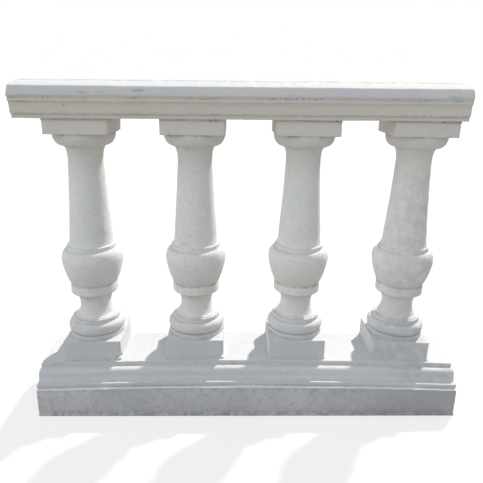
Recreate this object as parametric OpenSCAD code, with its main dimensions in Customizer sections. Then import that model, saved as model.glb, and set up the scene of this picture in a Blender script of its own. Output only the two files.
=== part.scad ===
// Precast balustrade unit: a moulded bottom rail on a plain course, a row of vase
// balusters bedded in mortar, and a moulded top rail. Millimetres, +Z up, +X along
// the row, -Y the front. The origin is on the ground, under the middle of the row.

/* [Row of balusters] */
// Distance from one baluster's axis to the next
bay = 280; // [240:5:360]
// Height of the space between the two rails, mortar beds included
clear_h = 640; // [560:5:800]
// Side of the square plinth of a baluster
plinth_w = 155; // [140:1:188]
// Side of the square cap of a baluster
cap_w = 159; // [140:1:192]

/* [Plain course] */
// Height of the plain course on the ground
course_h = 91; // [50:1:160]
// Ledge of the plain course past the foot of the bottom rail, at each side
course_ledge = 12; // [4:1:40]
// Course and bottom rail beyond the end plinths, at each end
base_overhang = 65; // [20:1:120]

/* [Mortar] */
// Thickness of every mortar bed
bed_t = 4; // [2:0.5:8]
// How far the mortar is raked back from the faces
bed_rake = 2; // [1:0.5:4]

/* [Bottom rail] */
// Height of the bottom rail
base_rail_h = 43; // [38:1:70]
// Flat top of the bottom rail in front of the plinths
base_front = 11; // [10:1:60]
// Flat top of the bottom rail behind the plinths
base_back = 0; // [0:1:60]
// How far its mouldings spread at each side, from the flat top out to the foot
base_spread = 46; // [36:1:60]
// Height of its foot
base_foot_h = 5; // [4:1:14]
// Narrow ledge on top of the foot
base_ledge = 12; // [4:0.5:18]
// Height of the small upright face under the flat top
base_face_h = 10; // [6:1:14]
// Flat step at the foot of that face
base_step = 11; // [2:0.5:12]
// Roll in front of that step, as far out as it goes down
base_roll = 14; // [8:0.5:16]

/* [Baluster] */
// Height of the square plinth
plinth_h = 51; // [40:1:80]
// Height of the round fillet on the plinth
foot_fillet_h = 13; // [8:1:18]
// How far that fillet stands in from the plinth's faces
foot_fillet_inset = 3; // [2:0.5:10]
// Height of the foot torus
torus_h = 30; // [22:1:36]
// How far the torus stands in from the plinth's faces
torus_inset = 1; // [0.5:0.5:6]
// How far the torus swells out past its own foot and head
torus_bulge = 14; // [8:1:18]
// Height of the fillet over the torus
torus_fillet_h = 11; // [6:1:14]
// Radius of the fillet over the torus
torus_fillet_r = 64; // [60:1:66]
// Height of the foot bell, from its lip up to the neck
foot_bell_h = 35; // [28:1:50]
// Radius at the lip of the foot bell
foot_bell_r = 58; // [52:1:60]
// Radius of the neck under the ring
neck_r = 42; // [36:1:46]
// Height of the hollow between the neck and the ring
ring_hollow_h = 35; // [24:1:40]
// Radius of the ring under the belly
ring_r = 63; // [58:1:66]
// Height of the ring
ring_h = 23; // [14:1:26]
// Radius of the groove between the ring and the belly
groove_r = 60.5; // [54:0.5:61]
// Height of that groove
groove_h = 3; // [2:0.5:5]
// Greatest radius of the belly
belly_r = 81; // [70:1:84]
// Height from the groove to the widest part of the belly
belly_low_h = 66; // [50:1:80]
// How far the lower belly bows out past a straight cone
belly_bow = 3; // [0:0.5:5]
// Height from the widest part of the belly to the fillet above it
belly_high_h = 29; // [22:1:40]
// Radius of the fillet over the belly
lip_r = 65; // [60:1:68]
// Height of the fillet over the belly
lip_h = 11; // [6:1:14]
// Height of the flare at the foot of the shaft
flare_h = 34; // [24:1:50]
// Radius of the shaft above the flare
shaft_foot_r = 56; // [50:1:60]
// How far the shaft is drawn in from a straight cone
shaft_draw = 1; // [0:0.5:2]
// Radius at the top of the shaft
shaft_head_r = 44.5; // [38:0.5:48]
// Height of the hollow under the ovolo
head_hollow_h = 36; // [24:1:44]
// Radius at the top of that hollow
head_hollow_r = 54; // [48:1:55]
// Height of the ovolo under the cap
ovolo_h = 31; // [22:1:38]
// Radius at the foot of the ovolo
ovolo_foot_r = 57; // [56:1:62]
// How far the ovolo stands in from the cap's faces
ovolo_inset = 1.5; // [1:0.5:6]
// Height of the square cap
cap_h = 34; // [26:1:50]
// Small step between one turned moulding and the next
quirk = 2; // [1:0.5:3]

/* [Top rail] */
// Top rail beyond the left end cap
rail_overhang_left = 65.5; // [20:0.5:120]
// Top rail beyond the right end cap
rail_overhang_right = 22; // [10:1:120]
// Underside of the top rail past the caps' faces, at each side
rail_reveal = 7.5; // [4:0.5:30]
// Height of the fillet along its underside
rail_foot_h = 10; // [6:1:14]
// Height of the ogee over that fillet
rail_ogee_h = 30; // [24:1:40]
// How far the ogee spreads from the fillet out to the band above it
rail_ogee_out = 14; // [8:1:24]
// Height of that band
rail_band_h = 8; // [5:1:12]
// Height of the throat between the band and the drip edge
rail_throat_h = 5; // [3:0.5:8]
// How far the drip edge stands out past the band
rail_drip_out = 5; // [3:1:12]
// Height of the sloping face over the drip edge
rail_face_h = 23; // [16:1:32]
// How far that face leans in, from the drip edge to the top arris
rail_face_in = 15; // [6:1:20]
// How far that face bows out past a flat slope
rail_face_bow = 1; // [0:0.5:2]
// Rise of the crowned top, from the arrises to the middle
rail_crown_h = 13; // [6:1:20]

/* [Hidden] */

balusters = 4;
curve_steps = 8;
turned_fn = 96;
limewash = [0.85, 0.85, 0.83];
bare_concrete = [0.58, 0.58, 0.59];
mortar = [0.70, 0.69, 0.65];

end_axis = (balusters - 1) * bay / 2;
base_half = end_axis + plinth_w / 2 + base_overhang;
rail_left = -end_axis - cap_w / 2 - rail_overhang_left;
rail_right = end_axis + cap_w / 2 + rail_overhang_right;
base_top_w = plinth_w + base_front + base_back;
base_foot_w = base_top_w + 2 * base_spread;
base_y = (base_back - base_front) / 2;
course_bed_z = course_h;
base_rail_z = course_bed_z + bed_t;
foot_bed_z = base_rail_z + base_rail_h;
baluster_z = foot_bed_z + bed_t;
baluster_h = clear_h - 2 * bed_t;
head_bed_z = baluster_z + baluster_h;
top_rail_z = head_bed_z + bed_t;
torus_r = plinth_w / 2 - torus_inset;
shaft_h = baluster_h - plinth_h - foot_fillet_h - torus_h - torus_fillet_h - foot_bell_h
    - ring_hollow_h - ring_h - groove_h - belly_low_h - belly_high_h - lip_h - flare_h
    - head_hollow_h - ovolo_h - cap_h;

// Axis of baluster i, counted from 1 at the left
function axis_x(i) = (i - (balusters + 1) / 2) * bay;

// A quarter of an ellipse from p to q: it leaves p upright and reaches q lying flat
function upright_then_flat(p, q) = [
    for (i = [0:curve_steps])
        let (a = 90 * i / curve_steps)
        [q.x + (p.x - q.x) * cos(a), p.y + (q.y - p.y) * sin(a)]
];

// A quarter of an ellipse from p to q: it leaves p lying flat and reaches q upright
function flat_then_upright(p, q) = [
    for (i = [0:curve_steps])
        let (a = 90 * i / curve_steps)
        [p.x + (q.x - p.x) * sin(a), q.y + (p.y - q.y) * cos(a)]
];

// A slow swelling from p to q, bowed outwards by the given amount at the middle
function bowed(p, q, bow) = [
    for (i = [0:curve_steps])
        let (t = i / curve_steps)
        [p.x + (q.x - p.x) * t + 4 * bow * t * (1 - t), p.y + (q.y - p.y) * t]
];

// Half of a torus' outline, from its foot to its head
function half_round(x, z, h, bulge) = [
    for (i = [0:2 * curve_steps])
        let (a = -90 + 90 * i / curve_steps)
        [x + bulge * cos(a), z + h / 2 + h / 2 * sin(a)]
];

// Outline of the turned part of a baluster, radius against height over its plinth
function turned_outline() =
    let (
        z_torus = foot_fillet_h,
        z_fillet = z_torus + torus_h,
        z_bell = z_fillet + torus_fillet_h,
        z_neck = z_bell + foot_bell_h,
        z_ring = z_neck + ring_hollow_h,
        z_groove = z_ring + ring_h,
        z_belly = z_groove + groove_h,
        z_wide = z_belly + belly_low_h,
        z_lip = z_wide + belly_high_h,
        z_flare = z_lip + lip_h,
        z_shaft = z_flare + flare_h,
        z_hollow = z_shaft + shaft_h,
        z_ovolo = z_hollow + head_hollow_h,
        z_cap = z_ovolo + ovolo_h,
        fillet_r = plinth_w / 2 - foot_fillet_inset,
        ovolo_r = cap_w / 2 - ovolo_inset
    )
    concat(
        [[0, 0], [fillet_r, 0], [fillet_r, z_torus]],
        half_round(torus_r - torus_bulge, z_torus, torus_h, torus_bulge),
        [[torus_fillet_r, z_fillet], [torus_fillet_r, z_bell], [foot_bell_r, z_bell]],
        flat_then_upright([foot_bell_r, z_bell + quirk], [neck_r, z_neck]),
        upright_then_flat([neck_r, z_neck + quirk], [ring_r - quirk, z_ring - quirk]),
        [[ring_r, z_ring], [ring_r, z_groove], [groove_r, z_groove], [groove_r, z_belly]],
        bowed([groove_r + quirk, z_belly], [belly_r, z_wide], belly_bow),
        upright_then_flat([belly_r, z_wide + quirk], [lip_r + quirk, z_lip]),
        [[lip_r, z_lip], [lip_r, z_flare]],
        flat_then_upright([lip_r - quirk, z_flare], [shaft_foot_r, z_shaft]),
        bowed([shaft_foot_r, z_shaft + quirk], [shaft_head_r, z_hollow - quirk], -shaft_draw),
        upright_then_flat([shaft_head_r, z_hollow], [head_hollow_r, z_ovolo - quirk]),
        [[head_hollow_r, z_ovolo]],
        flat_then_upright([ovolo_foot_r, z_ovolo], [ovolo_r, z_cap - quirk]),
        [[ovolo_r, z_cap], [0, z_cap]]
    );

// One half of the bottom rail's section, width against height
function base_rail_side() =
    let (
        foot_x = base_foot_w / 2,
        curve_x = foot_x - base_ledge,
        top_x = base_top_w / 2,
        step_x = top_x + base_step,
        curve_top = base_rail_h - base_face_h,
        curve_mid = [step_x + base_roll, curve_top - base_roll]
    )
    concat(
        [[foot_x, 0], [foot_x, base_foot_h]],
        flat_then_upright([curve_x, base_foot_h], curve_mid),
        upright_then_flat(curve_mid, [step_x, curve_top]),
        [[top_x, curve_top], [top_x, base_rail_h]]
    );

// One half of the top rail's section, width against height
function top_rail_side() =
    let (
        z_ogee = rail_foot_h,
        z_band = z_ogee + rail_ogee_h,
        z_throat = z_band + rail_band_h,
        z_drip = z_throat + rail_throat_h,
        z_arris = z_drip + rail_face_h,
        foot_x = cap_w / 2 + rail_reveal,
        band_x = foot_x + rail_ogee_out,
        drip_x = band_x + rail_drip_out,
        arris_x = drip_x - rail_face_in,
        ogee_foot = [foot_x + quirk, z_ogee],
        ogee_head = [band_x - quirk, z_band],
        ogee_mid = (ogee_foot + ogee_head) / 2
    )
    concat(
        [[foot_x, 0], [foot_x, z_ogee]],
        flat_then_upright(ogee_foot, ogee_mid),
        upright_then_flat(ogee_mid, ogee_head),
        [[band_x, z_band], [band_x, z_throat], [drip_x - quirk, z_drip - quirk], [drip_x, z_drip]],
        bowed([drip_x, z_drip + quirk], [arris_x, z_arris], rail_face_bow),
        crown(arris_x, z_arris)
    );

// The crowned top, from one arris to the middle
function crown(arris_x, z_arris) = [
    for (i = [1:curve_steps])
        let (t = 1 - i / curve_steps)
        [arris_x * t, z_arris + rail_crown_h * (1 - t * t)]
];

// Half a section, mirrored and run along X from x0 to x1, its middle at y and its foot at height z
module run_along(side, x0, x1, y, z) {
    last = len(side) - 1;
    left = [for (i = [0:last]) [-side[last - i].x, side[last - i].y]];
    translate([x0, y, z])
        rotate([90, 0, 90])
            linear_extrude(x1 - x0)
                polygon(concat(side, left));
}

// A box centred on x and y, standing at height z
module slab(x, y, z, size) {
    translate([x - size.x / 2, y - size.y / 2, z])
        cube(size);
}

module base_course() {
    color(bare_concrete)
        slab(0, base_y, 0, [2 * base_half, base_foot_w + 2 * course_ledge, course_h]);
}

module course_bed() {
    color(mortar)
        slab(0, base_y, course_bed_z, [2 * (base_half - bed_rake), base_foot_w - 2 * bed_rake, bed_t]);
}

module bottom_rail() {
    color(limewash)
        run_along(base_rail_side(), -base_half, base_half, base_y, base_rail_z);
}

module foot_bed(i) {
    bed_w = plinth_w - 2 * bed_rake;
    color(mortar)
        slab(axis_x(i), 0, foot_bed_z, [bed_w, bed_w, bed_t]);
}

module baluster(i) {
    color(limewash) {
        slab(axis_x(i), 0, baluster_z, [plinth_w, plinth_w, plinth_h]);
        translate([axis_x(i), 0, baluster_z + plinth_h])
            rotate_extrude($fn = turned_fn)
                polygon(turned_outline());
        slab(axis_x(i), 0, head_bed_z - cap_h, [cap_w, cap_w, cap_h]);
    }
}

module head_bed(i) {
    bed_w = cap_w - 2 * bed_rake;
    color(mortar)
        slab(axis_x(i), 0, head_bed_z, [bed_w, bed_w, bed_t]);
}

module top_rail() {
    color(limewash)
        run_along(top_rail_side(), rail_left, rail_right, 0, top_rail_z);
}

base_course();
course_bed();
bottom_rail();
foot_bed(1);  // foot_bed_1
foot_bed(2);  // foot_bed_2
foot_bed(3);  // foot_bed_3
foot_bed(4);  // foot_bed_4
baluster(1);  // baluster_1
baluster(2);  // baluster_2
baluster(3);  // baluster_3
baluster(4);  // baluster_4
head_bed(1);  // head_bed_1
head_bed(2);  // head_bed_2
head_bed(3);  // head_bed_3
head_bed(4);  // head_bed_4
top_rail();
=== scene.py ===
import math

import bmesh
import bpy
from mathutils import Matrix, Vector


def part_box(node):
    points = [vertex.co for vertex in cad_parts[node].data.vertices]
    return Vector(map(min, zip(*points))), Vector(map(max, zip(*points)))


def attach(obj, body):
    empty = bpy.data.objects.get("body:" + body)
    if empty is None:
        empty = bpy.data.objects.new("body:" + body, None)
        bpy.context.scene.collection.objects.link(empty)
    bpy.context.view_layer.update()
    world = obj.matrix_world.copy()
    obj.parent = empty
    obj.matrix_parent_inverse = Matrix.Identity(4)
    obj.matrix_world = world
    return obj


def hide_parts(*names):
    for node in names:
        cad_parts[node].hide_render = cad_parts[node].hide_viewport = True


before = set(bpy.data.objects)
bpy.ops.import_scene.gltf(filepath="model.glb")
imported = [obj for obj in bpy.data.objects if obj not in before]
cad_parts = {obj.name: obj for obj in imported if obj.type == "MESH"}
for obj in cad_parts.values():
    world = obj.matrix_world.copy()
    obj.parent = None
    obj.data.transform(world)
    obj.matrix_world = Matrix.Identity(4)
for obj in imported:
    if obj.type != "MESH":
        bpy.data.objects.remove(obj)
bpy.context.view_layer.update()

# ------------------------------------------------------------------ ground course
# A plain kerb of bare grey concrete, cast against rough boards and set on the ground
# first. The sand shows in its face, its foot is damp and a little worn, and the narrow
# ledge along its top was brushed over when the rest was limewashed.
MM = 0.001
COURSE_STEP = 4.2 * MM
COURSE_ARRIS = 4 * MM
COURSE_FOOT = 20 * MM
COURSE_WEAR = (
    ("boards", 160 * MM, 2.0 * MM, 1.0, "faces"),
    ("lumps", 35 * MM, 1.9 * MM, 1.0, "faces"),
    ("sand", 9 * MM, 1.1 * MM, 0.9, "faces"),
    ("ragged", 22 * MM, 4.0 * MM, 1.0, "foot"),
)
ROW_HALF = 551 * MM
ENDS_SUNK = 10.1 * MM
DARK_CEMENT = (0.58, 0.585, 0.61)
PALE_CEMENT = (0.67, 0.67, 0.68)
CEMENT_STAIN = (0.46, 0.465, 0.485)
SAND = (0.70, 0.69, 0.68)
STONES = (0.34, 0.34, 0.35)
# painted shade for the right end of the course
RIGHT_END_SHADE = (0.36, 0.365, 0.39)
DAMP = (0.27, 0.265, 0.26)
AIR_HOLES = (0.22, 0.22, 0.22)
JOINT_DIRT = (0.36, 0.355, 0.35)
BRUSHED_OVER = (0.76, 0.765, 0.77)


def put_down():
    """Leaves edit mode and lets go of everything."""
    if bpy.context.object and bpy.context.mode != "OBJECT":
        bpy.ops.object.mode_set(mode="OBJECT")
    bpy.ops.object.select_all(action="DESELECT")


def take_up(piece):
    """Selects just this piece and makes it the one that is worked on."""
    put_down()
    piece.select_set(True)
    bpy.context.view_layer.objects.active = piece


def name_new(name):
    """Names the primitive that was just added, with its place in its mesh."""
    piece = bpy.context.object
    piece.name = piece.data.name = name
    bpy.ops.object.transform_apply(location=True, rotation=True, scale=True)
    return piece


def pick(kind, wanted):
    """In edit mode, selects just the points, edges or faces that are wanted, and counts them."""
    bpy.ops.mesh.select_mode(type=kind)
    bpy.ops.mesh.select_all(action="DESELECT")
    shell = bmesh.from_edit_mesh(bpy.context.object.data)
    found = {"VERT": shell.verts, "EDGE": shell.edges, "FACE": shell.faces}[kind]
    chosen = [item for item in found if wanted(item)]
    for item in chosen:
        item.select_set(True)
    bmesh.update_edit_mesh(bpy.context.object.data)
    return len(chosen)


def cut_along(axis, step):
    """Cuts each long edge that runs along an axis into lengths of about a step."""

    def long_one(edge):
        run = edge.verts[1].co - edge.verts[0].co
        return abs(run[axis]) > 1.5 * step and abs(run[axis]) > 0.9 * run.length

    while pick("EDGE", long_one):
        shell = bmesh.from_edit_mesh(bpy.context.object.data)
        longest = max(e.calc_length() for e in shell.edges if e.select)
        bpy.ops.mesh.subdivide(number_cuts=min(max(round(longest / step) - 1, 1), 16))


def cast_block(name, low, high, arris, step):
    """A block between two corners, its edges rounded, its faces ruled into small squares."""
    put_down()
    bpy.ops.mesh.primitive_cube_add(size=1, location=(low + high) / 2, scale=high - low)
    piece = name_new(name)
    bpy.ops.object.mode_set(mode="EDIT")
    bpy.ops.mesh.select_all(action="SELECT")
    bpy.ops.mesh.bevel(affect="EDGES", offset=arris, segments=3, profile=0.5)
    for axis in range(3):
        cut_along(axis, step)
    put_down()
    return piece


def mark(piece, name, share):
    """A vertex group that holds each point by its share, from 0 to 1."""
    group = piece.vertex_groups.new(name=name)
    for point in piece.data.vertices:
        held = share(point.co)
        if held > 0:
            group.add([point.index], min(held, 1.0), "REPLACE")


def weather(piece, wear):
    """Wears the surface in turn by each kind of wear.

    A kind has a name, the size of its patches, its depth, how much of it only takes
    away, from 0 to 1, and the group of points that it keeps to.
    """
    for name, size, depth, inward, group in wear:
        take_up(piece)
        pattern = bpy.data.textures.new(f"{piece.name}_{name}", "CLOUDS")
        pattern.noise_scale = size
        worn = piece.modifiers.new(name, "DISPLACE")
        worn.texture = pattern
        worn.texture_coords = "LOCAL"
        worn.strength = depth
        worn.mid_level = 0.5 + inward / 2
        worn.vertex_group = group
        bpy.ops.object.modifier_apply(modifier=name)


def settle(piece, foot_z, still_z):
    """Lets the ends of the row sink a little: fully from foot_z on, and not at all at still_z."""

    def share(p):
        return (p.x / ROW_HALF) ** 2 * min(1.0, (p.z - still_z) / (foot_z - still_z))

    mark(piece, "sunk", share)
    take_up(piece)
    sink = piece.modifiers.new("sunk", "DISPLACE")
    sink.direction = "Z"
    sink.mid_level = 0.0
    sink.strength = -ENDS_SUNK
    sink.vertex_group = "sunk"
    bpy.ops.object.modifier_apply(modifier="sunk")


def hand_over(piece, nodes, finish, angle=40):
    """Closes a piece: outward faces, smooth shading, its finish and its place in the frame."""
    take_up(piece)
    bpy.ops.object.mode_set(mode="EDIT")
    bpy.ops.mesh.select_all(action="SELECT")
    bpy.ops.mesh.normals_make_consistent(inside=False)
    take_up(piece)
    bpy.ops.object.shade_smooth_by_angle(angle=math.radians(angle))
    piece.vertex_groups.clear()
    piece.data.materials.append(finish)
    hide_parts(*nodes)
    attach(piece, "root")


def stir(tree, kind, inputs=None, **settings):
    """One node of a finish, with its settings, and values or links for its sockets."""
    made = tree.nodes.new(kind)
    for name, value in settings.items():
        setattr(made, name, value)
    for name, value in (inputs or {}).items():
        if isinstance(value, bpy.types.NodeSocket):
            tree.links.new(value, made.inputs[name])
        else:
            made.inputs[name].default_value = value
    return made


def new_finish(name):
    """An empty finish: its material, its tree and its Principled shader."""
    finish = bpy.data.materials.new(name)
    finish.use_nodes = True
    tree = finish.node_tree
    return finish, tree, tree.nodes["Principled BSDF"]


def places(tree):
    """Where a point of the surface lies on the piece, and how far up its face looks, from -1 to 1."""
    where = stir(tree, "ShaderNodeTexCoord").outputs["Object"]
    normal = stir(tree, "ShaderNodeNewGeometry").outputs["Normal"]
    return where, stir(tree, "ShaderNodeSeparateXYZ", {0: normal}).outputs["Z"]


def along_axis(tree, where, axis):
    """A place along one axis, in metres."""
    return stir(tree, "ShaderNodeSeparateXYZ", {0: where}).outputs[axis]


def grain(tree, where, scale, detail=4.0, rough=0.55):
    """Cloudy noise, as many patches to the metre as the scale, from 0 to 1."""
    return stir(
        tree, "ShaderNodeTexNoise",
        {"Vector": where, "Scale": scale, "Detail": detail, "Roughness": rough},
    ).outputs[0]


def between(tree, value, low, high, start=0.0, end=1.0):
    """Takes a value from low to high onto start to end, smoothly."""
    return stir(
        tree, "ShaderNodeMapRange",
        {"Value": value, "From Min": low, "From Max": high, "To Min": start, "To Max": end},
        interpolation_type="SMOOTHSTEP",
    ).outputs[0]


def times(tree, a, b, operation="MULTIPLY"):
    """Two values worked together, kept from 0 to 1."""
    return stir(
        tree, "ShaderNodeMath", {0: a, 1: b}, operation=operation, use_clamp=True
    ).outputs[0]


def wash_over(tree, share, under, over):
    """Lays one colour over another by a share. Sockets 6 and 7 of a Mix are its colours."""
    under, over = ((*c, 1.0) if isinstance(c, tuple) else c for c in (under, over))
    return stir(
        tree, "ShaderNodeMix", {0: share, 6: under, 7: over}, data_type="RGBA", blend_type="MIX"
    ).outputs[2]


def pinholes(tree, where, scale, radius, share):
    """Small round air holes, one in some of the cells of a net: 1 in a hole, 0 outside."""
    net = stir(tree, "ShaderNodeTexVoronoi", {"Vector": where, "Scale": scale, "Randomness": 1.0})
    lot = stir(tree, "ShaderNodeSeparateColor", {0: net.outputs["Color"]}).outputs[0]
    hole = between(tree, net.outputs["Distance"], radius * 0.55, radius, 1.0, 0.0)
    return times(tree, hole, between(tree, lot, 1 - share - 0.01, 1 - share))


def relief(tree, height, depth, strength, under=None):
    """Bump of a depth in metres, on top of another."""
    inputs = {"Height": height, "Distance": depth, "Strength": strength}
    if under:
        inputs["Normal"] = under
    return stir(tree, "ShaderNodeBump", inputs).outputs[0]


course_low, course_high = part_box("base_course")


def bare_concrete():
    """Grey concrete with its sand showing, damp below, darkened towards the right end by painted
    shade, brushed along its ledge.
    """
    finish, tree, skin = new_finish("bare_grey_concrete")
    where, facing = places(tree)
    height = along_axis(tree, where, "Z")
    blotch = grain(tree, where, 9, 5, 0.6)
    mottle = grain(tree, where, 55, 5, 0.62)
    sand = grain(tree, where, 230, 3, 0.7)
    colour = wash_over(tree, between(tree, blotch, 0.35, 0.65), DARK_CEMENT, PALE_CEMENT)
    colour = wash_over(tree, between(tree, mottle, 0.48, 0.7, 0.0, 0.6), colour, CEMENT_STAIN)
    colour = wash_over(tree, between(tree, sand, 0.45, 0.62, 0.0, 0.35), colour, SAND)
    stones = between(tree, grain(tree, where, 170, 2, 0.5), 0.6, 0.7, 0.0, 0.35)
    colour = wash_over(tree, stones, colour, STONES)
    # painted shade: the face is darkened towards the right end
    right_end_shade = between(tree, along_axis(tree, where, "X"), 0.10, 0.56, 0.0, 0.72)
    colour = wash_over(tree, right_end_shade, colour, RIGHT_END_SHADE)
    low_down = between(tree, height, 0.003, 0.022, 1.0, 0.0)
    damp = times(tree, low_down, between(tree, mottle, 0.38, 0.6))
    colour = wash_over(tree, times(tree, damp, 0.55), colour, DAMP)
    hole = pinholes(tree, where, 85, 0.16, 0.3)
    colour = wash_over(tree, times(tree, hole, 0.45), colour, AIR_HOLES)
    by_joint = between(tree, height, course_high.z - 0.022, course_high.z - 0.010)
    dirty = times(tree, times(tree, by_joint, 0.35), between(tree, mottle, 0.35, 0.6))
    colour = wash_over(tree, dirty, colour, JOINT_DIRT)
    ragged = times(tree, grain(tree, where, 60), 0.5)
    brushed = between(tree, times(tree, facing, ragged, "SUBTRACT"), 0.20, 0.42)
    colour = wash_over(tree, brushed, colour, BRUSHED_OVER)
    tree.links.new(colour, skin.inputs["Base Color"])
    tree.links.new(between(tree, mottle, 0.3, 0.7, 0.82, 0.97), skin.inputs["Roughness"])
    bump = relief(tree, mottle, 2.2 * MM, 0.8)
    bump = relief(tree, sand, 1.1 * MM, 0.9, bump)
    bump = relief(tree, times(tree, 1.0, hole, "SUBTRACT"), 1.6 * MM, 1.0, bump)
    tree.links.new(bump, skin.inputs["Normal"])
    return finish


course = cast_block("ground_course", course_low, course_high, COURSE_ARRIS, COURSE_STEP)
mark(course, "faces", lambda p: min(1.0, p.z / (12 * MM)))
mark(course, "foot", lambda p: max(0.0, 1 - p.z / COURSE_FOOT) * min(1.0, p.z / (6 * MM)))
weather(course, COURSE_WEAR)
settle(course, course_high.z, course_low.z)
hand_over(course, ["base_course"], bare_concrete(), 50)

# ------------------------------------------------------------------ course mortar
# The bottom rail is bedded along the course in sand and cement, pointed a little back
# from the rail's foot and brushed over with the same limewash.
MORTAR_STEP = 5 * MM
MORTAR_ARRIS = 0.8 * MM
MORTAR_LAP = 1.2 * MM
MORTAR_WEAR = (
    ("trowel", 30 * MM, 1.4 * MM, 0.6, ""),
    ("sand", 6 * MM, 0.6 * MM, 0.0, ""),
)
COURSE_MORTAR_OUT = 1.8 * MM
WORN_THIN = (0.66, 0.665, 0.665)
RAIN_STREAKS = (0.62, 0.61, 0.58)
GRITTY = (0.55, 0.55, 0.54)
# painted warm bounce light from the ground, with grime, for downward faces
UNDERSIDE_BOUNCE_AND_GRIME = (0.64, 0.60, 0.52)
# grime, and painted shade that keeps the lamp-lit tops below white
SETTLED_DIRT_AND_SHADE = (0.62, 0.625, 0.63)
WORN_THROUGH = (0.50, 0.505, 0.51)
# grime and painted shade in the creases
CREASE_DUST_AND_SHADE = (0.46, 0.435, 0.38)
CREASE_SPECKS = (0.26, 0.265, 0.29)
# painted shade, with dirt, as a soft film along the dark lines
DIRT_AND_SHADE_FILM = (0.42, 0.395, 0.34)
DIRTY_SPECKS = (0.25, 0.26, 0.29)
PINHOLES = (0.17, 0.165, 0.16)


def find_creases(piece):
    """Keeps how hollow or how proud each point is, half for flat, for the dirt, the painted shade in
    the creases and the wear.
    """
    take_up(piece)
    piece.data.color_attributes.new("hollows", "FLOAT_COLOR", "CORNER")
    piece.data.attributes.active_color_name = "hollows"
    for point in piece.data.color_attributes["hollows"].data:
        point.color = (1, 1, 1, 1)
    bpy.ops.object.mode_set(mode="VERTEX_PAINT")
    bpy.ops.paint.vertex_color_dirt(
        blur_strength=1.0, blur_iterations=1, clean_angle=math.pi, dirt_angle=0.0,
        dirt_only=False, normalize=False,
    )
    put_down()


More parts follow.
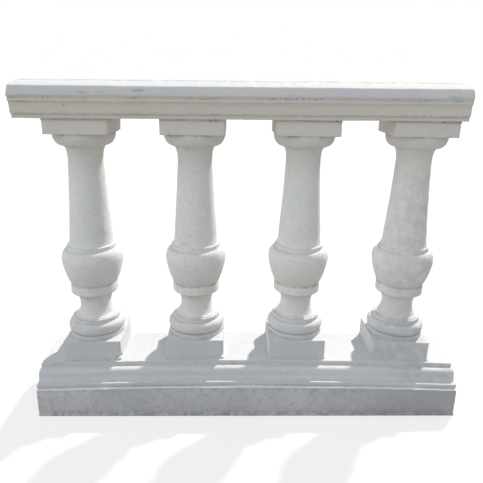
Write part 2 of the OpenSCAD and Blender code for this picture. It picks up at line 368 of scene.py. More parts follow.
def limewash(name, cool, warm, marks=(), shade_and_dirt_lines=(), dust_and_shade_bands=()):
    """Worn limewash on cast concrete, between two of its whites.

    Each mark is a patch of colour: middle, reach, strength and colour; a few are painted
    shade and painted bounce light. Each shade and dirt line is a height with specks of
    dirt and a soft film of painted shade along it: height, reach and share. Each band
    has a height where it is clear, one where it is full, its strength and its colour;
    some bands carry painted shade and painted warm bounce light.
    """
    finish, tree, skin = new_finish(name)
    where, facing = places(tree)
    height = along_axis(tree, where, "Z")
    hollows = stir(tree, "ShaderNodeAttribute", attribute_name="hollows").outputs["Fac"]
    drift = grain(tree, where, 6, 4, 0.55)
    mottle = grain(tree, where, 42, 6, 0.6)
    speck = grain(tree, where, 230, 4, 0.7)
    drawn_out = stir(tree, "ShaderNodeMapping", {"Vector": where, "Scale": (70, 70, 7)}).outputs[0]
    streak = grain(tree, drawn_out, 1.0, 4, 0.6)
    colour = wash_over(tree, between(tree, drift, 0.35, 0.65), cool, warm)
    colour = wash_over(tree, between(tree, mottle, 0.5, 0.75, 0.0, 0.4), colour, WORN_THIN)
    colour = wash_over(tree, between(tree, streak, 0.55, 0.8, 0.0, 0.28), colour, RAIN_STREAKS)
    colour = wash_over(tree, between(tree, speck, 0.3, 0.6, 0.46, 0.0), colour, GRITTY)
    # downward faces: painted warm bounce light from the ground, with grime
    below = between(tree, facing, -0.75, -0.05, 1.0, 0.0)
    below = times(tree, below, between(tree, mottle, 0.2, 0.8, 0.6, 0.95))
    colour = wash_over(tree, below, colour, UNDERSIDE_BOUNCE_AND_GRIME)
    # upward faces are darkened: grime, and painted shade that keeps the lamp-lit tops below white
    flat_top = between(tree, facing, 0.93, 0.985)
    settled_dirt_and_shade = times(tree, flat_top, between(tree, mottle, 0.2, 0.7, 0.6, 0.9))
    colour = wash_over(tree, settled_dirt_and_shade, colour, SETTLED_DIRT_AND_SHADE)
    # bands by height: grime, painted shade and painted warm bounce light
    for clear_z, full_z, strength, tint in dust_and_shade_bands:
        ends = (0.0, strength) if clear_z < full_z else (strength, 0.0)
        dust_and_shade = between(tree, height, *sorted((clear_z, full_z)), *ends)
        dust_and_shade = times(tree, dust_and_shade, between(tree, mottle, 0.2, 0.5, 0.8))
        colour = wash_over(tree, dust_and_shade, colour, tint)
    worn = times(tree, between(tree, hollows, 0.515, 0.56), between(tree, mottle, 0.36, 0.6))
    colour = wash_over(tree, times(tree, worn, 0.5), colour, WORN_THROUGH)
    # creases: grime, and painted shade where the hollows lie
    crease = between(tree, hollows, 0.455, 0.492, 1.0, 0.0)
    dust_and_shade = times(tree, crease, between(tree, mottle, 0.3, 0.62, 0.1, 0.48))
    colour = wash_over(tree, dust_and_shade, colour, CREASE_DUST_AND_SHADE)
    clots = times(
        tree, between(tree, grain(tree, where, 260, 2, 0.5), 0.52, 0.60),
        between(tree, grain(tree, where, 14, 3, 0.5), 0.42, 0.6),
    )
    in_crease = times(tree, times(tree, crease, clots), 0.6)
    colour = wash_over(tree, in_crease, colour, CREASE_SPECKS)
    sway = between(tree, mottle, 0.2, 0.8, -2.5 * MM, 2.5 * MM)
    level = stir(tree, "ShaderNodeMath", {0: height, 1: sway}, operation="ADD").outputs[0]
    # dark lines at given heights, under overhangs and in creases: specks of dirt and a soft film of
    # painted shade
    for line, reach, share in shade_and_dirt_lines:
        off = stir(tree, "ShaderNodeMath", {0: level, 1: line}, operation="SUBTRACT").outputs[0]
        off = stir(tree, "ShaderNodeMath", {0: off}, operation="ABSOLUTE").outputs[0]
        near = between(tree, off, reach * 0.4, reach, 1.0, 0.0)
        film = times(tree, near, between(tree, mottle, 0.35, 0.65, 0.0, share * 0.4))
        colour = wash_over(tree, film, colour, DIRT_AND_SHADE_FILM)
        specks = times(tree, times(tree, near, clots), share)
        colour = wash_over(tree, specks, colour, DIRTY_SPECKS)
    hole = pinholes(tree, where, 46, 0.075, 0.16)
    colour = wash_over(tree, times(tree, hole, 0.8), colour, PINHOLES)
    # marks: dirt, wash and holes, and a few of painted shade and painted bounce light
    for middle, reach, strength, patch_colour in marks:
        spread = stir(
            tree, "ShaderNodeMapping",
            {"Vector": where, "Location": middle, "Scale": reach}, vector_type="TEXTURE",
        ).outputs[0]
        away = stir(tree, "ShaderNodeVectorMath", {0: spread}, operation="LENGTH").outputs["Value"]
        near = between(tree, away, 0.3, 1.0, 1.0, 0.0)
        ragged = times(tree, near, between(tree, mottle, 0.3, 0.62))
        colour = wash_over(tree, times(tree, ragged, strength), colour, patch_colour)
    tree.links.new(colour, skin.inputs["Base Color"])
    tree.links.new(between(tree, mottle, 0.3, 0.7, 0.80, 0.94), skin.inputs["Roughness"])
    bump = relief(tree, mottle, 1.0 * MM, 0.7)
    bump = relief(tree, speck, 1.6 * MM, 0.9, bump)
    bump = relief(tree, times(tree, 1.0, hole, "SUBTRACT"), 1.2 * MM, 1.0, bump)
    tree.links.new(bump, skin.inputs["Normal"])
    return finish


def mortar_bed(name, node, out, aside, sunk_to, finish):
    """A bed of mortar squeezed flat between two uneven castings, pointed nearly to their faces."""
    low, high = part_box(node)
    more, shift = Vector((out, out, MORTAR_LAP)), Vector((aside, 0.0, 0.0))
    bed = cast_block(name, low - more + shift, high + more + shift, MORTAR_ARRIS, MORTAR_STEP)
    find_creases(bed)
    weather(bed, MORTAR_WEAR)
    settle(bed, *sunk_to)
    hand_over(bed, [node], finish, 50)


brushed_mortar = limewash("limewashed_mortar", (0.64, 0.665, 0.70), (0.68, 0.69, 0.69))
base_sunk = (course_high.z, course_low.z)
mortar_bed("course_mortar", "course_bed", COURSE_MORTAR_OUT, 0.0, base_sunk, brushed_mortar)

# ------------------------------------------------------------------ bottom rail
# One casting with the same mouldings front and back: a foot, a narrow ledge, a hollow,
# a roll and a small upright face, under a broad flat top that the balusters stand on.
BASE_TOP = 166 * MM
BASE_SPREAD = 46 * MM
BASE_FOOT = 5 * MM
BASE_LEDGE = 12 * MM
BASE_FACE = 10 * MM
BASE_SHELF = 11 * MM
BASE_ROLL = 14 * MM
BASE_ARRIS = 1.6 * MM
BASE_WEAR = (
    ("mould", 200 * MM, 2.2 * MM, 0.3, ""),
    ("brushing", 30 * MM, 1.2 * MM, 0.3, ""),
    ("grit", 8 * MM, 0.4 * MM, 0.0, ""),
)
BASE_STAINS = [
    ((-0.515, -0.105, 0.131), (0.035, 0.03, 0.014), 0.5, (0.33, 0.32, 0.29)),
    ((0.54, -0.11, 0.114), (0.24, 0.05, 0.05), 0.55, (0.46, 0.465, 0.48)),
]
CUT_SHORT = 0.8 * MM
SECTION_STEP = 3.6 * MM
RUN_STEP = 4.2 * MM
END_STEP = 11 * MM
CURVE_STEPS = 8
SOFT_TURN = math.radians(24)
SAME_PLACE = 0.01 * MM


def quarter_turns():
    """The angles of the points along a quarter of an ellipse."""
    return [math.pi / 2 * i / CURVE_STEPS for i in range(CURVE_STEPS + 1)]


def upright_then_flat(p, q):
    """A quarter of an ellipse that leaves p upright and reaches q lying flat."""
    return [
        (q[0] + (p[0] - q[0]) * math.cos(a), p[1] + (q[1] - p[1]) * math.sin(a))
        for a in quarter_turns()
    ]


def flat_then_upright(p, q):
    """A quarter of an ellipse that leaves p lying flat and reaches q upright."""
    return [
        (p[0] + (q[0] - p[0]) * math.sin(a), q[1] + (p[1] - q[1]) * math.cos(a))
        for a in quarter_turns()
    ]


def swelling(p, q, bow):
    """A slow swelling from p to q, out by a bow at its middle."""
    shares = [i / CURVE_STEPS for i in range(CURVE_STEPS + 1)]
    return [
        (p[0] + (q[0] - p[0]) * t + 4 * bow * t * (1 - t), p[1] + (q[1] - p[1]) * t) for t in shares
    ]


def worn_corners(outline, radius, closed=False):
    """Rounds each corner of an outline, as casting and many coats of limewash do."""
    points = []
    for p in map(Vector, outline):
        if not points or (p - points[-1]).length > 1e-6:
            points.append(p)
    worn = []
    for i, here in enumerate(points):
        if not closed and i in (0, len(points) - 1):
            worn.append(here)
            continue
        back, on = points[i - 1] - here, points[(i + 1) % len(points)] - here
        if math.pi - back.angle(on) < SOFT_TURN:
            worn.append(here)
            continue
        reach = min(radius, 0.45 * back.length, 0.45 * on.length)
        a, b = here + back.normalized() * reach, here + on.normalized() * reach
        for t in (0.0, 0.33, 0.67, 1.0):
            worn.append(a * (1 - t) ** 2 + here * (2 * t * (1 - t)) + b * t * t)
    return worn


def ruled(outline, step, closed=False):
    """Adds points to an outline, so that none lies further than a step from the next."""
    ruled_points = []
    for a, b in zip(outline, outline[1:] + outline[:1] if closed else outline[1:]):
        parts = max(1, math.ceil((b - a).length / step))
        ruled_points += [a.lerp(b, k / parts) for k in range(parts)]
    return ruled_points if closed else ruled_points + [outline[-1]]


def draw_outline(outline, place):
    """In edit mode, draws an outline from a single point, stretch by stretch."""
    bpy.ops.mesh.select_mode(type="VERT")
    bpy.ops.mesh.primitive_plane_add(size=10 * MM, location=place(outline[0]))
    bpy.ops.mesh.merge(type="CENTER")
    for a, b in zip(outline, outline[1:]):
        bpy.ops.mesh.extrude_region_move(TRANSFORM_OT_translate={"value": place(b) - place(a)})


def start_empty(name):
    """A new piece with nothing in it yet, opened in edit mode."""
    put_down()
    bpy.ops.mesh.primitive_plane_add(size=10 * MM)
    piece = name_new(name)
    bpy.ops.object.mode_set(mode="EDIT")
    bpy.ops.mesh.delete(type="VERT")
    return piece


def rule_ends(axis, step):
    """Cuts the flat ends of a run a step apart along an axis, so that wear lies evenly on them."""
    spots = [v.co[axis] for v in bmesh.from_edit_mesh(bpy.context.object.data).verts]
    square_to = Vector([float(a == axis) for a in range(3)])
    for k in range(1, math.ceil((max(spots) - min(spots)) / step)):
        pick("FACE", lambda f: abs(f.normal.x) > 0.99)
        bpy.ops.mesh.bisect(plane_co=square_to * (min(spots) + k * step), plane_no=square_to)


def run_moulding(name, side, y, z, x_start, x_end, arris):
    """Half a section, mirrored, drawn as a closed outline and run along the row."""
    half = [Vector(p) for p in side]
    section = half + [Vector((-p.x, p.y)) for p in reversed(half)]
    section = ruled(worn_corners(section, arris, closed=True), SECTION_STEP, closed=True)
    piece = start_empty(name)
    draw_outline(section + section[:1], lambda p: Vector((x_start, y + p.x, z + p.y)))
    bpy.ops.mesh.select_all(action="SELECT")
    bpy.ops.mesh.remove_doubles(threshold=SAME_PLACE)
    bpy.ops.mesh.edge_face_add()
    bpy.ops.mesh.extrude_region_move(TRANSFORM_OT_translate={"value": (x_end - x_start, 0, 0)})
    bpy.ops.mesh.select_all(action="SELECT")
    bpy.ops.mesh.normals_make_consistent(inside=False)
    for end in (x_start, x_end):
        pick("EDGE", lambda e: all(abs(v.co.x - end) < SAME_PLACE for v in e.verts))
        bpy.ops.mesh.bevel(affect="EDGES", offset=arris, segments=2, profile=0.5)
    for axis in (1, 2):
        rule_ends(axis, END_STEP)
    cut_along(0, RUN_STEP)
    put_down()
    return piece


base_low, base_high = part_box("bottom_rail")
base_y = (base_low.y + base_high.y) / 2
base_height = base_high.z - base_low.z


def base_side():
    """Half the bottom rail's section, from its underside up to its flat top."""
    foot = BASE_TOP / 2 + BASE_SPREAD
    shelf = (BASE_TOP / 2 + BASE_SHELF, base_height - BASE_FACE)
    roll = (shelf[0] + BASE_ROLL, shelf[1] - BASE_ROLL)
    return (
        [(foot, 0.0), (foot, BASE_FOOT)]
        + flat_then_upright((foot - BASE_LEDGE, BASE_FOOT), roll)
        + upright_then_flat(roll, shelf)
        + [(BASE_TOP / 2, base_height - BASE_FACE), (BASE_TOP / 2, base_height)]
    )


bottom_rail = run_moulding(
    "moulded_bottom_rail", base_side(), base_y, base_low.z,
    base_low.x + CUT_SHORT, base_high.x - CUT_SHORT, BASE_ARRIS,
)
find_creases(bottom_rail)
weather(bottom_rail, BASE_WEAR)
settle(bottom_rail, *base_sunk)
base_wash = limewash(
    "limewash_bottom_rail", (0.63, 0.665, 0.715), (0.685, 0.705, 0.725), BASE_STAINS
)
hand_over(bottom_rail, ["bottom_rail"], base_wash)

# ------------------------------------------------------------------ plinth mortar
# Each plinth stands on its own bed of mortar, finished flush and limewashed over, so
# that only a soft uneven line is left of the joint.
FOOT_MORTAR_OUT = 2.7 * MM
FEET_ASIDE = (-3.5 * MM, -4 * MM, -6 * MM, 0.0)
for i, aside in enumerate(FEET_ASIDE):
    mortar_bed(
        f"plinth_mortar_{i + 1}", f"foot_bed_{i + 1}", FOOT_MORTAR_OUT, aside, base_sunk,
        brushed_mortar,
    )

# ------------------------------------------------------------------ balusters
# Vase balusters of the double bell pattern, each one casting from a square plinth to
# a square cap, turned between them. Soft from many coats of limewash, with small air
# holes, worn arrises, and dirt and painted shade in the creases.
PLINTH = 155 * MM
CAP = 159 * MM
PLINTH_H = 51 * MM
CAP_H = 34 * MM
BLOCK_ARRIS = 2.2 * MM
PLAN_CORNER = 4 * MM
QUIRK = 2 * MM
# The stretches of the turning, from the plinth up. The shaft takes the height that is left.
TURNED_HEIGHTS = {
    "torus": 13 * MM, "fillet": 30 * MM, "bell": 11 * MM, "neck": 35 * MM, "ring": 35 * MM,
    "groove": 23 * MM, "belly": 3 * MM, "wide": 66 * MM, "lip": 29 * MM, "flare": 11 * MM,
    "shaft": 34 * MM, "hollow": 0.0, "ovolo": 36 * MM, "cap": 31 * MM,
}
TORUS_FOOT_IN = 3 * MM
TORUS_IN = 1 * MM
TORUS_TUCK_UNDER = 7 * MM
TORUS_TUCK_OVER = 14 * MM
FILLET_R = 64 * MM
BELL_R = 58 * MM
NECK_R = 42 * MM
RING_R = 63 * MM
GROOVE_R = 60.5 * MM
BELLY_FOOT_R = 62.5 * MM
BELLY_R = 81 * MM
BELLY_BOW = 3 * MM
LIP_R = 65 * MM
SHAFT_FOOT_R = 56 * MM
SHAFT_HEAD_R = 44.5 * MM
SHAFT_BOW = -1 * MM
COLLAR_R = 54 * MM
OVOLO_FOOT_R = 57 * MM
OVOLO_IN = 1.5 * MM
TURNED_ARRIS = 1.6 * MM
SIDE_PARTS = 40
CORNER_PARTS = 3
AROUND = 4 * (SIDE_PARTS + CORNER_PARTS)
UP_STEP = 4 * MM
SEAM_CUTS = 5
HEADS_ASIDE = (0.0, 0.0, 0.0, 7.5 * MM)
# The first two have lost a corner of their plinths: how far round, and how far in along X and Y.
BROKEN_CORNERS = {0: (18 * MM, (-7 * MM, 5 * MM)), 1: (16 * MM, (-6 * MM, 4 * MM))}
BALUSTER_WEAR = (
    ("mould", 160 * MM, 1.6 * MM, 0.0, ""),
    ("brushing", 28 * MM, 1.1 * MM, 0.0, ""),
    ("grit", 8 * MM, 0.4 * MM, 0.0, ""),
    ("nicks", 20 * MM, 2.0 * MM, 1.0, "arris"),
)
DARK_HOLE = (0.16, 0.155, 0.15)

baluster_low, baluster_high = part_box("baluster_1")
baluster_h = baluster_high.z - baluster_low.z
turned_from = baluster_low.z + PLINTH_H
turned_to = baluster_high.z - CAP_H
axes_x = []
for i in range(1, 5):
    low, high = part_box(f"baluster_{i}")
    axes_x.append((low.x + high.x) / 2)


def turned_side():
    """The turned outline, from the plinth up to the cap: radius against height."""
    foot, head = PLINTH / 2, CAP / 2
    shaft_h = turned_to - turned_from - sum(TURNED_HEIGHTS.values())
    k, z = {}, turned_from
    for name, height in TURNED_HEIGHTS.items():
        z += shaft_h if name == "hollow" else height
        k[name] = z
    torus_mid, torus_half = (k["torus"] + k["fillet"]) / 2, (k["fillet"] - k["torus"]) / 2
    side = [(foot - TORUS_FOOT_IN, turned_from), (foot - TORUS_FOOT_IN, k["torus"])]
    for i in range(2 * CURVE_STEPS + 1):
        a = math.pi * (i / (2 * CURVE_STEPS) - 0.5)
        tuck = TORUS_TUCK_OVER if a > 0 else TORUS_TUCK_UNDER
        out = foot - TORUS_IN - tuck * (1 - math.cos(a))
        side.append((out, torus_mid + torus_half * math.sin(a)))
    side += [(FILLET_R, k["fillet"]), (FILLET_R, k["bell"]), (BELL_R, k["bell"])]
    side += flat_then_upright((BELL_R, k["bell"] + QUIRK), (NECK_R, k["neck"]))
    side += upright_then_flat((NECK_R, k["neck"] + QUIRK), (RING_R - QUIRK, k["ring"] - QUIRK))
    side += [(RING_R, k["ring"]), (RING_R, k["groove"])]
    side += [(GROOVE_R, k["groove"]), (GROOVE_R, k["belly"])]
    side += swelling((BELLY_FOOT_R, k["belly"]), (BELLY_R, k["wide"]), BELLY_BOW)
    side += upright_then_flat((BELLY_R, k["wide"] + QUIRK), (LIP_R + QUIRK, k["lip"]))
    side += [(LIP_R, k["lip"]), (LIP_R, k["flare"])]
    side += flat_then_upright((LIP_R - QUIRK, k["flare"]), (SHAFT_FOOT_R, k["shaft"]))
    side += swelling(
        (SHAFT_FOOT_R, k["shaft"] + QUIRK), (SHAFT_HEAD_R, k["hollow"] - QUIRK), SHAFT_BOW
    )
    side += upright_then_flat((SHAFT_HEAD_R, k["hollow"]), (COLLAR_R, k["ovolo"] - QUIRK))
    side += [(COLLAR_R, k["ovolo"])]
    side += flat_then_upright((OVOLO_FOOT_R, k["ovolo"]), (head - OVOLO_IN, k["cap"] - QUIRK))
    side += [(head - OVOLO_IN, k["cap"])]
    return [Vector(p) for p in side]


def square_block(centre_x, side):
    """In edit mode, a square loop of points stretched up through the levels of a block."""
    half, z = side[0]
    bpy.ops.mesh.select_mode(type="VERT")
    bpy.ops.mesh.select_all(action="DESELECT")
    bpy.ops.mesh.primitive_plane_add(size=2 * half, location=(centre_x, 0, z))
    bpy.ops.mesh.bevel(affect="VERTICES", offset=PLAN_CORNER, segments=CORNER_PARTS)
    bpy.ops.mesh.delete(type="ONLY_FACE")
    pick("EDGE", lambda e: e.calc_length() > PLINTH / 2 and not e.link_faces)
    bpy.ops.mesh.subdivide(number_cuts=SIDE_PARTS - 1)
    pick("EDGE", lambda e: not e.link_faces)
    for (was, low), (now, high) in zip(side, side[1:]):
        bpy.ops.mesh.extrude_region_move(TRANSFORM_OT_translate={"value": (0, 0, high - low)})
        bpy.ops.transform.resize(
            value=(now / was, now / was, 1), center_override=(centre_x, 0, high)
        )


def pick_open_ends(z):
    """In edit mode, selects the open edges at a height."""
    pick("EDGE", lambda e: e.is_boundary and all(abs(v.co.z - z) < 2 * SAME_PLACE for v in e.verts))


def cast_baluster(name, centre_x):
    """One baluster: turned on a lathe between two square blocks, bridged into one skin."""
    piece = start_empty(name)
    outline = ruled(worn_corners(turned_side(), TURNED_ARRIS), UP_STEP)
    draw_outline(outline, lambda p: Vector((centre_x + p.x, 0, p.y)))
    bpy.ops.mesh.select_all(action="SELECT")
    bpy.ops.mesh.spin(steps=AROUND, angle=2 * math.pi, center=(centre_x, 0, 0), axis=(0, 0, 1))
    bpy.ops.mesh.select_all(action="SELECT")
    bpy.ops.mesh.remove_doubles(threshold=SAME_PLACE)
    foot, head = PLINTH / 2, CAP / 2
    low, high = baluster_low.z, baluster_high.z
    plinth = [
        (foot - BLOCK_ARRIS, low), (foot, low), (foot, turned_from),
        (foot - BLOCK_ARRIS, turned_from),
    ]
    cap = [(head - MM, turned_to), (head, turned_to), (head, high), (head - BLOCK_ARRIS, high)]
    for side in (plinth, cap):
        square_block(centre_x, ruled(worn_corners(side, BLOCK_ARRIS), UP_STEP))
    for z in (turned_from, turned_to):
        pick_open_ends(z)
        bpy.ops.mesh.bridge_edge_loops(number_cuts=SEAM_CUTS, interpolation="LINEAR")
    for z in (low, high):
        pick_open_ends(z)
        bpy.ops.mesh.edge_face_add()
    bpy.ops.mesh.select_all(action="SELECT")
    bpy.ops.mesh.normals_make_consistent(inside=False)
    put_down()
    return piece


def on_arris(p, centre_x):
    """How near a point lies to an upright or outer edge of the plinth or the cap."""
    if turned_from + MM <= p.z <= turned_to - MM:
        return 0.0
    half = (PLINTH if p.z < turned_from + MM else CAP) / 2
    inner, outer = sorted((abs(p.x - centre_x), abs(p.y)))
    upright = max(0.0, 1 - (half - inner) / (12 * MM))
    level = max(0.0, 1 - min(abs(p.z - turned_from), abs(p.z - turned_to)) / (6 * MM))
    return max(upright, 0.7 * level * (outer > half - 4 * MM))


def chip(piece, corner, reach, drawn_in):
    """Breaks a corner: the points near it are drawn in, first along X, then along Y."""
    mark(piece, "chip", lambda p: 1.6 * (1 - (p - corner).length / reach))
    take_up(piece)
    for axis, draw in zip("XY", drawn_in):
        broken = piece.modifiers.new("chip", "DISPLACE")
        broken.direction = axis
        broken.mid_level = 0.0
        broken.strength = draw
        broken.vertex_group = "chip"
        bpy.ops.object.modifier_apply(modifier="chip")


def lean_over(feet_aside, heads_aside, centre_x):
    """Sets a baluster a little aside at its foot, and leans it over to its place at the head."""
    bpy.ops.object.mode_set(mode="EDIT")
    bpy.ops.mesh.select_all(action="SELECT")
    bpy.ops.transform.translate(value=(feet_aside, 0, 0))
    bpy.ops.transform.rotate(
        value=-math.atan2(heads_aside - feet_aside, baluster_h), orient_axis="Y",
        center_override=(centre_x + feet_aside, 0, baluster_low.z),
    )
    put_down()


def baluster_limewash():
    """The limewash of the balusters: warm toward the caps with painted shade and painted bounce light
    under the top rail, a painted warm bounce under the rings, grey on the plinths and on the fourth,
    with painted shade down the fourth's right side.
    """
    second, third, fourth = axes_x[1:]
    colour_patches = [
        ((second - 0.029, -0.055, 0.456), (0.018, 0.03, 0.010), 0.35, (0.34, 0.345, 0.36)),
        ((fourth - 0.004, -0.07, 0.196), (0.045, 0.03, 0.008), 0.8, (0.20, 0.195, 0.18)),
        # painted shade down the right side of the fourth baluster
        ((fourth + 0.080, -0.03, 0.36), (0.20, 0.18, 0.55), 0.75, (0.60, 0.60, 0.605)),
        ((fourth, -0.09, 0.165), (0.34, 0.10, 0.14), 0.85, (0.54, 0.55, 0.575)),
        ((fourth, -0.09, 0.757), (0.16, 0.05, 0.05), 0.5, (0.62, 0.63, 0.64)),
        # painted warm bounce light, with grime, in a band just under the rings
        ((0.0, -0.05, 0.288), (3.0, 0.12, 0.04), 0.5, (0.74, 0.71, 0.64)),
    ]
    large_holes = (
        (second - 0.0318, -0.05, 0.6192),
        (third - 0.0461, -0.045, 0.6378),
        (third - 0.0459, -0.05, 0.4701),
        (second - 0.0156, -0.05, 0.3049),
    )
    colour_patches += [(middle, (0.003, 0.02, 0.003), 1.0, DARK_HOLE) for middle in large_holes]
    # under the cap, under the ovolo and under the belly: dirt specks with painted shade
    shade_and_dirt_lines = [
        (turned_to - 1 * MM, 4 * MM, 1.0),
        (turned_to - 30 * MM, 3 * MM, 0.4),
        (turned_from + 147 * MM, 4 * MM, 0.6),
    ]
    dust_and_shade_bands = [
        # toward the caps: painted shade and painted warm bounce light under the top rail, with grime
        (turned_to - 140 * MM, turned_to - 20 * MM, 0.95, (0.69, 0.67, 0.615)),
        (turned_from + 90 * MM, turned_from - 6 * MM, 0.85, (0.63, 0.64, 0.66)),
    ]
    return limewash(
        "limewash_balusters", (0.80, 0.81, 0.825), (0.84, 0.83, 0.81), colour_patches, shade_and_dirt_lines, dust_and_shade_bands
    )


first = cast_baluster("vase_baluster_1", axes_x[0])
find_creases(first)
vases = [first]
for i in range(2, 5):
    take_up(first)
    bpy.ops.object.duplicate()
    copy = bpy.context.object
    copy.name = copy.data.name = f"vase_baluster_{i}"
    bpy.ops.object.mode_set(mode="EDIT")
    bpy.ops.mesh.select_all(action="SELECT")
    bpy.ops.transform.translate(value=(axes_x[i - 1] - axes_x[0], 0, 0))
    vases.append(copy)

baluster_wash = baluster_limewash()
for i, vase in enumerate(vases):
    mark(vase, "arris", lambda p: on_arris(p, axes_x[i]))
    weather(vase, BALUSTER_WEAR)
    if i in BROKEN_CORNERS:
        front_right = Vector((axes_x[i] + PLINTH / 2, -PLINTH / 2, baluster_low.z))
        chip(vase, front_right, *BROKEN_CORNERS[i])
    lean_over(FEET_ASIDE[i], HEADS_ASIDE[i], axes_x[i])
    settle(vase, baluster_low.z, baluster_high.z)
    hand_over(vase, [f"baluster_{i + 1}"], baluster_wash)

# ------------------------------------------------------------------ cap mortar
# The top rail is laid on a bed of mortar on each cap. The beds are raked back, left
# without limewash, and darkened along their upper edge, under the rail, by specks of
# dirt and a soft film of painted shade.
HEAD_MORTAR_OUT = 1.8 * MM

top_low, top_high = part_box("top_rail")
raked_mortar = limewash(
    "raked_mortar", (0.62, 0.61, 0.58), (0.66, 0.64, 0.59),
    # under the rail: dirt specks with painted shade
    shade_and_dirt_lines=[(top_low.z - 2 * MM, 4 * MM, 0.9)],
)
for i, aside in enumerate(HEADS_ASIDE):
    mortar_bed(
        f"cap_mortar_{i + 1}", f"head_bed_{i + 1}", HEAD_MORTAR_OUT, aside,
        (baluster_low.z, baluster_high.z), raked_mortar,
    )

# ------------------------------------------------------------------ top rail
# One long casting: a fillet and an ogee under a band, a throat that throws off the
# rain, a wavy drip edge, a sloping face and a gently crowned top. Limewashed.
RAIL_REVEAL = 7.5 * MM
RAIL_FILLET = 10 * MM
RAIL_OGEE = 30 * MM
RAIL_OGEE_OUT = 14 * MM
RAIL_BAND = 8 * MM
RAIL_THROAT = 5 * MM
RAIL_DRIP_OUT = 5 * MM
RAIL_FACE = 23 * MM
RAIL_FACE_IN = 15 * MM
RAIL_CROWN = 12.6 * MM
RAIL_ARRIS = 1.8 * MM
RAIL_WEAR = (
    ("mould", 200 * MM, 2.0 * MM, 0.4, ""),
    ("brushing", 30 * MM, 1.2 * MM, 0.4, ""),
    ("grit", 8 * MM, 0.4 * MM, 0.0, ""),
    ("dripping", 35 * MM, 4.5 * MM, 0.6, "drip"),
)
RAIL_END_WASH = (0.62, 0.635, 0.655)


def rail_side():
    """Half the top rail's section, from its underside up to the middle of its crown."""
    foot = CAP / 2 + RAIL_REVEAL
    band = foot + RAIL_OGEE_OUT
    drip = band + RAIL_DRIP_OUT
    arris = drip - RAIL_FACE_IN
    z_ogee, z_band = RAIL_FILLET, RAIL_FILLET + RAIL_OGEE
    z_throat = z_band + RAIL_BAND
    z_drip = z_throat + RAIL_THROAT
    z_arris = z_drip + RAIL_FACE
    ogee_foot, ogee_head = (foot + QUIRK, z_ogee), (band - QUIRK, z_band)
    middle = ((ogee_foot[0] + ogee_head[0]) / 2, (z_ogee + z_band) / 2)
    shares = [1 - i / CURVE_STEPS for i in range(1, CURVE_STEPS)]
    return (
        [(foot, 0.0), (foot, z_ogee)]
        + flat_then_upright(ogee_foot, middle)
        + upright_then_flat(middle, ogee_head)
        + [(band, z_band), (band, z_throat), (drip - QUIRK, z_drip - QUIRK), (drip, z_drip)]
        + swelling((drip, z_drip + QUIRK), (arris, z_arris), MM)
        + [(arris * t, z_arris + RAIL_CROWN * (1 - t * t)) for t in shares]
    )


def rail_limewash(drip_z):
    """The top rail's limewash: warm under its drip edge with painted bounce light from the ground,
    grey along its crown, and lines of dirt and painted shade under its edges.
    """
    colour_patches = [
        ((0.0, 0.0, top_high.z), (2.0, 0.060, 0.02), 1.0, (0.38, 0.38, 0.39)),
        ((top_low.x, 0.0, 0.82), (0.004, 0.4, 0.2), 0.85, RAIL_END_WASH),
        ((top_high.x, 0.0, 0.82), (0.004, 0.4, 0.2), 0.85, RAIL_END_WASH),
        ((-0.380, -0.10, 0.839), (0.055, 0.04, 0.0055), 0.6, (0.36, 0.37, 0.40)),
        ((-0.530, -0.10, 0.8175), (0.034, 0.03, 0.0015), 1.0, (0.30, 0.31, 0.34)),
        ((-0.262, -0.10, 0.844), (0.022, 0.04, 0.0045), 0.65, (0.34, 0.35, 0.37)),
        ((-0.260, -0.10, 0.834), (0.003, 0.03, 0.003), 1.0, DARK_HOLE),
        ((0.470, -0.10, 0.834), (0.030, 0.04, 0.006), 0.6, (0.36, 0.37, 0.40)),
    ]
    # in the throat under the drip, at the ogee and along the rail's foot: dirt specks with painted
    # shade
    shade_and_dirt_lines = [
        (drip_z - 4 * MM, 3.5 * MM, 0.8),
        (top_low.z + 41 * MM, 3 * MM, 0.25),
        (top_low.z + 12 * MM, 4 * MM, 0.6),
        (top_low.z + 1 * MM, 3 * MM, 0.4),
    ]
    # under the drip edge: painted warm bounce light from the ground, on old limewash kept from the
    # rain
    dust_and_shade_bands = [(drip_z, drip_z - 6 * MM, 0.95, (0.685, 0.65, 0.585))]
    return limewash(
        "limewash_top_rail", (0.61, 0.63, 0.66), (0.655, 0.66, 0.665), colour_patches, shade_and_dirt_lines, dust_and_shade_bands
    )


top_rail = run_moulding(
    "moulded_top_rail", rail_side(), 0.0, top_low.z,
    top_low.x + CUT_SHORT, top_high.x - CUT_SHORT, RAIL_ARRIS,
)
drip_edge_z = top_low.z + RAIL_FILLET + RAIL_OGEE + RAIL_BAND + RAIL_THROAT
mark(top_rail, "drip", lambda p: 1 - abs(p.z - drip_edge_z) / (6 * MM))
find_creases(top_rail)
weather(top_rail, RAIL_WEAR)
hand_over(top_rail, ["top_rail"], rail_limewash(drip_edge_z))

# ------------------------------------------------------------------ studio
# A plain pale floor, a white surround, a lamp high behind the right end, broad weak ones
# overhead and at the left, and the camera a little above the top rail.
EYE = Vector((-0.0436, -1.3599, 0.8794))
DOWN, ASIDE, ROLL = (math.radians(a) for a in (17.536, 1.055, -0.571))
LENS = 39.23
FLOOR_SIZE = 60
FLOOR_PAPER = (0.88, 0.88, 0.88)
FLOOR_TO_OBJECT = (0.38, 0.38, 0.38)
FLOOR_FIBRES = (0.8, 0.8, 0.8)
WHITE = (1, 1, 1, 1)
SKY = (0.93, 0.965, 1.0)
LAMPS = (
    ("key_lamp", Vector((0.66, 0.86, 1.0)), 4.2, 3, (1.0, 0.965, 0.91)),
    ("sky_lamp", Vector((0.0, -0.2, 1.0)), 0.45, 110, SKY),
    ("side_lamp", Vector((-0.79, -0.39, 0.47)), 0.7, 60, (0.96, 0.98, 1.0)),
)

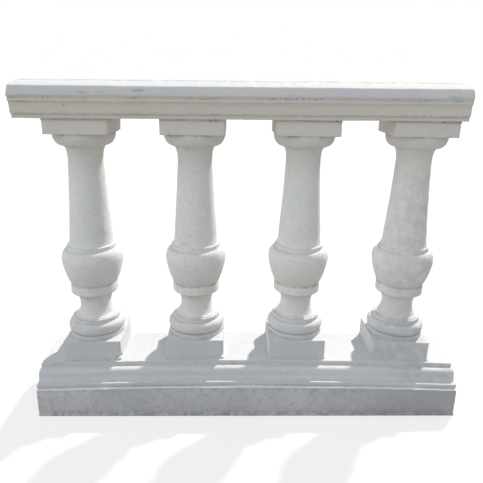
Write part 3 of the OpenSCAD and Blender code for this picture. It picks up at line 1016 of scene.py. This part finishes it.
put_down()
bpy.ops.mesh.primitive_plane_add(size=FLOOR_SIZE, location=(0, 0, 0))
floor = name_new("studio_floor")
paper, tree, skin = new_finish("floor_paper")
in_view = stir(tree, "ShaderNodeLightPath").outputs["Is Camera Ray"]
where = stir(tree, "ShaderNodeTexCoord").outputs["Object"]
fibre = between(tree, grain(tree, where, 30), 0.3, 0.7, 0.0, 0.02)
shade = wash_over(tree, in_view, FLOOR_TO_OBJECT, FLOOR_PAPER)
tree.links.new(wash_over(tree, fibre, shade, FLOOR_FIBRES), skin.inputs["Base Color"])
skin.inputs["Roughness"].default_value = 1.0
skin.inputs["Specular IOR Level"].default_value = 0.0
white = stir(tree, "ShaderNodeEmission", {"Color": WHITE, "Strength": 1.0}).outputs[0]
lifted = stir(
    tree, "ShaderNodeMixShader", {0: times(tree, in_view, 0.7), 1: skin.outputs[0], 2: white}
).outputs[0]
tree.links.new(lifted, tree.nodes["Material Output"].inputs["Surface"])
floor.data.materials.append(paper)

world = bpy.data.worlds.new("studio_surround")
bpy.context.scene.world = world
world.use_nodes = True
tree = world.node_tree
path = stir(tree, "ShaderNodeLightPath").outputs
fill = stir(tree, "ShaderNodeBackground", {"Color": (*SKY, 1), "Strength": 0.45}).outputs[0]
plain = stir(tree, "ShaderNodeBackground", {"Color": WHITE, "Strength": 1.0}).outputs[0]
mirrored = times(tree, path["Is Glossy Ray"], path["Is Transmission Ray"], "MAXIMUM")
in_view = times(tree, path["Is Camera Ray"], mirrored, "MAXIMUM")
around = stir(tree, "ShaderNodeMixShader", {0: in_view, 1: fill, 2: plain})
tree.links.new(around.outputs[0], tree.nodes["World Output"].inputs["Surface"])

for name, towards, energy, spread, tint in LAMPS:
    bpy.ops.object.light_add(type="SUN", location=3 * towards)
    lamp = bpy.context.object
    lamp.name = name
    lamp.data.energy = energy
    lamp.data.angle = math.radians(spread)
    lamp.data.color = tint
    lamp.rotation_euler = towards.to_track_quat("Z", "Y").to_euler()

bpy.ops.object.camera_add(location=EYE)
camera = bpy.context.object
camera.name = "studio_camera"
ahead = Vector(
    (math.sin(ASIDE) * math.cos(DOWN), math.cos(ASIDE) * math.cos(DOWN), -math.sin(DOWN))
)
level = Vector((math.cos(ASIDE), -math.sin(ASIDE), 0))
under = ahead.cross(level)
right = level * math.cos(ROLL) + under * math.sin(ROLL)
drop = under * math.cos(ROLL) - level * math.sin(ROLL)
turn = Matrix((right, -drop, -ahead)).transposed().to_4x4()
camera.matrix_world = Matrix.Translation(EYE) @ turn
camera.data.sensor_width = 36
camera.data.lens = LENS
camera.data.clip_start = 0.02
bpy.context.scene.camera = camera
bpy.context.scene.view_settings.view_transform = "Standard"

# ------------------------------------------------------------------ end
put_down()
